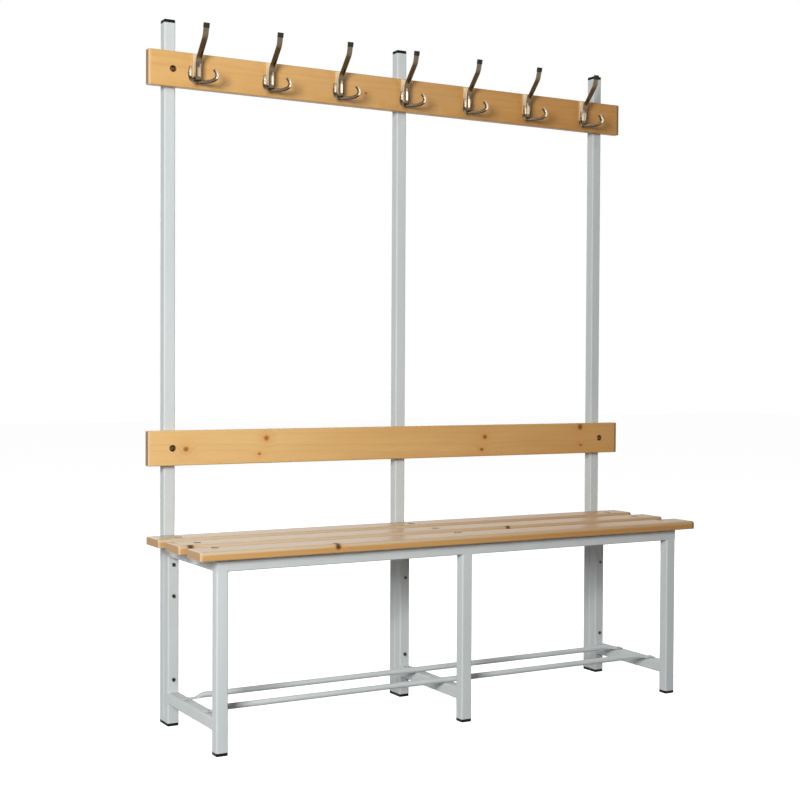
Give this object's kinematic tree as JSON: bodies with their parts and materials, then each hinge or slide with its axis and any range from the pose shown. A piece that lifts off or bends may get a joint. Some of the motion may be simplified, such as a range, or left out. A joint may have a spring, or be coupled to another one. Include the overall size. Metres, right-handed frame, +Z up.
{
  "type": "locker room bench",
  "caption": "Freestanding changing room bench: slatted pine seat on a square steel tube frame, with tall posts, a backrest board, a rail of coat hooks and a low rack of rods for shoes.",
  "frame": {"origin": "on the floor, under the middle of the bench's outer box", "axes": "+X along the bench, to the right of someone facing its seat; +Y from the seat towards the posts; +Z up"},
  "size_m": [1.49, 0.407, 1.8],
  "materials": {
    "paint": "light grey powder coat, satin",
    "pine": "planed pine with clear satin varnish",
    "plastic": "black moulded plastic",
    "steel": "dark bolts and screws",
    "nickel": "dark polished nickel plate"
  },
  "bodies": {
    "root": {"front_leg_left": "paint", "front_leg_middle": "paint", "front_leg_right": "paint", "rear_leg_left": "paint", "rear_leg_middle": "paint", "rear_leg_right": "paint", "seat_crossbar_left": "paint", "seat_crossbar_middle": "paint", "seat_crossbar_right": "paint", "lower_crossbar_left": "paint", "lower_crossbar_middle": "paint", "lower_crossbar_right": "paint", "front_rail": "paint", "rear_rail": "paint", "post_left": "paint", "post_middle": "paint", "post_right": "paint", "shoe_rod_rear": "paint", "shoe_rod_front": "paint", "seat_slat_rear": "pine", "seat_slat_middle": "pine", "seat_slat_front": "pine", "backrest": "pine", "hook_rail": "pine", "front_glide_left": "plastic", "front_glide_middle": "plastic", "front_glide_right": "plastic", "rear_glide_left": "plastic", "rear_glide_middle": "plastic", "rear_glide_right": "plastic", "post_glide_left": "plastic", "post_glide_middle": "plastic", "post_glide_right": "plastic", "post_cap_left": "plastic", "post_cap_middle": "plastic", "post_cap_right": "plastic", "coat_hook_1": "nickel", "coat_hook_2": "nickel", "coat_hook_3": "nickel", "coat_hook_4": "nickel", "coat_hook_5": "nickel", "coat_hook_6": "nickel", "coat_hook_7": "nickel", "post_bolt_left_upper": "steel", "post_bolt_left_middle": "steel", "post_bolt_left_lower": "steel", "post_bolt_middle_upper": "steel", "post_bolt_middle_middle": "steel", "post_bolt_middle_lower": "steel", "post_bolt_right_upper": "steel", "post_bolt_right_middle": "steel", "post_bolt_right_lower": "steel", "backrest_bolt_left": "steel", "backrest_bolt_right": "steel", "backrest_screw_middle": "steel", "hook_rail_bolt_left": "steel", "hook_rail_bolt_right": "steel", "hook_rail_screw_middle": "steel"}
  },
  "joints": []
}
